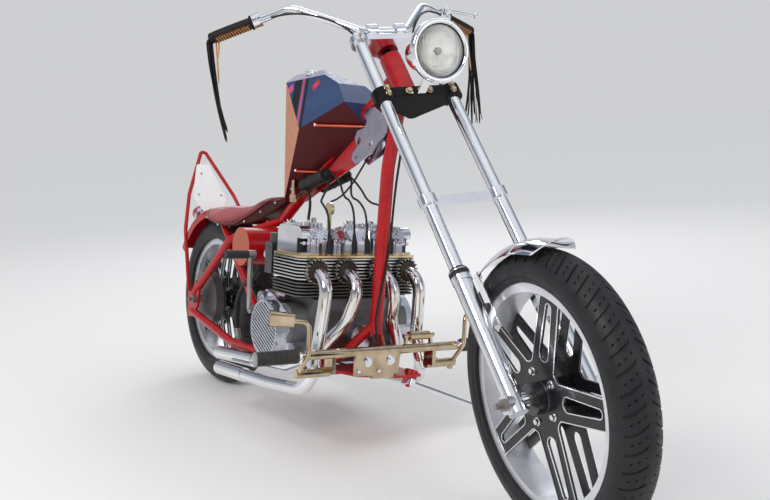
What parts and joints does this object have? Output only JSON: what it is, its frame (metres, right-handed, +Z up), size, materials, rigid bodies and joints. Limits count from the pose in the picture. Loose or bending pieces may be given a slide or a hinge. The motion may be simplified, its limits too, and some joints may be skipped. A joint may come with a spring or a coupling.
{
  "type": "chopper motorcycle",
  "caption": "Long-fork chopper motorcycle with a rigid frame, steeply set prism fuel tank, low seat, transverse air-cooled engine, straight exhaust pipes and a side stand.",
  "frame": {"origin": "on the ground, midway along and across the vehicle as it leans on its side stand", "axes": "+X the way the frame points, +Y to the rider's left, +Z up"},
  "size_m": [2.3775, 0.9782, 1.288],
  "materials": {
    "red_frame_paint": "gloss",
    "cast_aluminium": "as cast",
    "polished_aluminium": "polished",
    "steel": "plated",
    "carb_metal": "cast",
    "chrome": "mirror",
    "tank_paint": "gloss",
    "red_leather": "satin",
    "red_lens": "gloss",
    "nickel_plate": "warm nickel plate",
    "black_rubber": "matte",
    "tyre_rubber": "matte",
    "rim_metal": "satin",
    "black_wheel_paint": "gloss",
    "black_paint": "satin",
    "lamp_glass": "clear",
    "grip_leather": "matte"
  },
  "bodies": {
    "frame": {"front_frame": "red_frame_paint", "backbone": "red_frame_paint", "lower_rails": "red_frame_paint", "rear_stays": "red_frame_paint", "seat_struts": "red_frame_paint", "cross_tubes": "red_frame_paint", "frame_plates": "red_frame_paint", "backbone_web": "red_frame_paint", "ignition_coils": "black_rubber", "crankcase": "cast_aluminium", "engine_covers": "polished_aluminium", "cylinders": "cast_aluminium", "cylinder_head": "cast_aluminium", "rocker_cover": "polished_aluminium", "kickstart_lever": "steel", "carburettors": "carb_metal", "exhaust_pipes": "chrome", "exhaust_clamps": "steel", "fuel_tank": "tank_paint", "seat_cushion": "red_leather", "oil_tank": "red_frame_paint", "rear_fender": "red_frame_paint", "sissy_bar": "red_frame_paint", "tail_light": "red_lens", "forward_controls": "nickel_plate", "footpegs": "black_rubber", "foot_pedals": "nickel_plate", "rear_axle": "steel", "chain": "steel", "fuel_tap": "nickel_plate", "control_cables": "black_rubber", "plug_leads": "black_rubber", "fuel_hose": "black_rubber", "oil_hose": "black_rubber"},
    "rear_wheel": {"rear_tyre": "tyre_rubber", "rear_rim": "rim_metal", "rear_spokes": "black_wheel_paint", "rear_sprocket": "steel"},
    "front_wheel": {"front_tyre": "tyre_rubber", "front_rim": "rim_metal", "front_spokes": "black_wheel_paint"},
    "fork": {"fork_sliders": "polished_aluminium", "fork_tubes": "chrome", "bottom_yoke": "black_paint", "top_yoke": "polished_aluminium", "fork_brace": "polished_aluminium", "front_axle": "steel", "front_fender": "chrome", "headlight_shell": "chrome", "headlight_lens": "lamp_glass", "handlebar": "chrome", "grips": "grip_leather", "hand_controls": "chrome", "bar_cables": "black_rubber"},
    "side_stand": {"side_stand": "chrome"}
  },
  "joints": [
    {"name": "steering", "type": "hinge", "parent": "frame", "child": "fork", "pos_m": [0.19481, 0.00527, 1.03876], "axis": [-0.6475, 0.0995, 0.7555], "range_deg": [-18, 42]},
    {"name": "front_wheel_spin", "type": "hinge", "parent": "fork", "child": "front_wheel", "pos_m": [0.86237, -0.09777, 0.32999], "axis": [0.1586, 0.9873, 0.0058], "continuous": true},
    {"name": "rear_wheel_spin", "type": "hinge", "parent": "frame", "child": "rear_wheel", "pos_m": [-0.87685, -0.09056, 0.30987], "axis": [0.0001, 0.9914, -0.1305], "continuous": true},
    {"name": "side_stand_swing", "type": "hinge", "parent": "frame", "child": "side_stand", "pos_m": [0.16327, -0.00577, 0.18876], "axis": [-0.1667, 0.5097, 0.844], "range_deg": [0, 78]}
  ]
}
